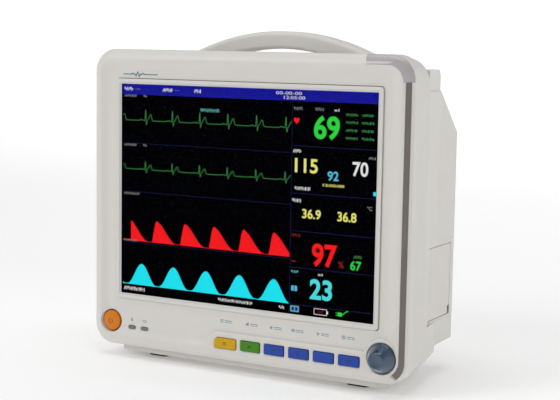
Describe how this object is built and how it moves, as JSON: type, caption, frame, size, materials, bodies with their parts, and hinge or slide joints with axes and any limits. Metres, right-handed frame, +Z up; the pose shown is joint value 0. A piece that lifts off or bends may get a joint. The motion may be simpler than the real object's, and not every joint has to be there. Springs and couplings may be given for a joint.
{
  "type": "patient monitor",
  "caption": "Bedside vital signs monitor with a landscape display, arched carrying handle, a row of coloured keys, push-and-turn knob, side recorder and rear battery bay.",
  "frame": {"origin": "centre of the overall box, at the bottom of the rubber feet", "axes": "+Z up, +X to the right as seen from the front, the display faces -Y"},
  "size_m": [0.305, 0.1431, 0.2907],
  "materials": {
    "ivory_plastic": "fine moulded texture",
    "pale_plastic": "satin",
    "clear_window": "clear gloss",
    "display_dark": "gloss",
    "foam": "matt",
    "steel_sheet": "zinc plated",
    "alarm_lens": "translucent satin",
    "circuit_board": "satin",
    "grey_strip": "satin",
    "orange_button": "satin",
    "light_pipe": "translucent gloss",
    "yellow_key": "satin",
    "green_key": "satin",
    "blue_key": "satin",
    "slate_knob": "satin",
    "silicone": "matt",
    "black_plastic": "matt",
    "black_rubber": "matt",
    "panel_blue": "satin",
    "socket_green": "satin",
    "socket_blue": "satin",
    "socket_red": "satin",
    "plated_metal": "nickel plated",
    "brass_post": "satin",
    "aluminium_case": "satin",
    "paper": "smooth paper",
    "cell_wrap": "satin"
  },
  "bodies": {
    "root": {"front_bezel": "ivory_plastic", "screen_surround": "pale_plastic", "display_window": "clear_window", "window_gasket": "foam", "display_panel": "display_dark", "display_bracket": "steel_sheet", "alarm_lens": "alarm_lens", "alarm_light_board": "circuit_board", "side_strip": "grey_strip", "power_switch": "black_plastic", "mains_light": "light_pipe", "battery_light": "light_pipe", "key_mat": "silicone", "key_board": "circuit_board", "encoder_body": "black_plastic", "rear_housing": "ivory_plastic", "handle": "ivory_plastic", "base_plinth": "ivory_plastic", "feet": "black_rubber", "recorder_housing": "black_plastic", "battery_pack": "cell_wrap", "parameter_panel": "panel_blue", "ecg_socket": "socket_green", "oxygen_socket": "socket_blue", "cuff_port": "plated_metal", "temperature_sockets": "black_plastic", "pressure_sockets": "socket_red", "parameter_board": "circuit_board", "cuff_pump": "aluminium_case", "cuff_valves": "black_plastic", "main_board": "circuit_board", "power_supply": "aluminium_case", "chassis_plate": "steel_sheet", "speaker": "black_plastic", "mains_inlet": "black_plastic", "fuse_caps": "black_plastic", "ground_post": "brass_post", "network_socket": "plated_metal", "video_socket": "socket_blue", "stand_plate": "steel_sheet", "housing_screws": "plated_metal", "handle_screws": "plated_metal", "plinth_screws": "plated_metal", "board_screws": "plated_metal"},
    "power_cap": {"power_button": "orange_button"},
    "knob_press": {"encoder_plunger": "black_plastic"},
    "knob_turn": {"knob": "slate_knob", "encoder_shaft": "plated_metal"},
    "recorder_flap": {"recorder_door": "ivory_plastic"},
    "platen": {"platen_roller": "black_rubber"},
    "roll": {"paper_roll": "paper"},
    "battery_flap": {"battery_door": "ivory_plastic"},
    "key_menu_cap": {"key_menu": "yellow_key"},
    "key_silence_cap": {"key_silence": "green_key"},
    "key_freeze_cap": {"key_freeze": "blue_key"},
    "key_mute_cap": {"key_mute": "blue_key"},
    "key_start_cap": {"key_start": "blue_key"},
    "key_print_cap": {"key_print": "blue_key"}
  },
  "joints": [
    {"name": "power_press", "type": "slide", "parent": "root", "child": "power_cap", "axis": [0, 1, 0], "range_m": [0, 0.0015], "stiffness_N_per_m": 700, "springref_m": -0.002},
    {"name": "key_menu_press", "type": "slide", "parent": "root", "child": "key_menu_cap", "axis": [0, 1, 0], "range_m": [0, 0.0012], "stiffness_N_per_m": 600, "springref_m": -0.002},
    {"name": "key_silence_press", "type": "slide", "parent": "root", "child": "key_silence_cap", "axis": [0, 1, 0], "range_m": [0, 0.0012], "stiffness_N_per_m": 600, "springref_m": -0.002},
    {"name": "key_freeze_press", "type": "slide", "parent": "root", "child": "key_freeze_cap", "axis": [0, 1, 0], "range_m": [0, 0.0012], "stiffness_N_per_m": 600, "springref_m": -0.002},
    {"name": "key_mute_press", "type": "slide", "parent": "root", "child": "key_mute_cap", "axis": [0, 1, 0], "range_m": [0, 0.0012], "stiffness_N_per_m": 600, "springref_m": -0.002},
    {"name": "key_start_press", "type": "slide", "parent": "root", "child": "key_start_cap", "axis": [0, 1, 0], "range_m": [0, 0.0012], "stiffness_N_per_m": 600, "springref_m": -0.002},
    {"name": "key_print_press", "type": "slide", "parent": "root", "child": "key_print_cap", "axis": [0, 1, 0], "range_m": [0, 0.0012], "stiffness_N_per_m": 600, "springref_m": -0.002},
    {"name": "knob_push", "type": "slide", "parent": "root", "child": "knob_press", "axis": [0, 1, 0], "range_m": [0, 0.0008], "stiffness_N_per_m": 1500, "springref_m": -0.0015},
    {"name": "knob_spin", "type": "hinge", "parent": "knob_press", "child": "knob_turn", "pos_m": [0.1315, -0.055, 0.0324], "axis": [0, 1, 0], "continuous": true},
    {"name": "recorder_open", "type": "hinge", "parent": "root", "child": "recorder_flap", "pos_m": [0.1389, 0.028, 0.0542], "axis": [0, 1, 0], "range_deg": [0, 75]},
    {"name": "platen_spin", "type": "hinge", "parent": "recorder_flap", "child": "platen", "pos_m": [0.1354, 0.028, 0.104], "axis": [0, 1, 0], "continuous": true},
    {"name": "roll_spin", "type": "hinge", "parent": "root", "child": "roll", "pos_m": [0.116, 0.028, 0.079], "axis": [0, 1, 0], "continuous": true},
    {"name": "battery_open", "type": "hinge", "parent": "root", "child": "battery_flap", "pos_m": [-0.071, 0.0665, 0.0529], "axis": [-1, 0, 0], "range_deg": [0, 90]}
  ]
}
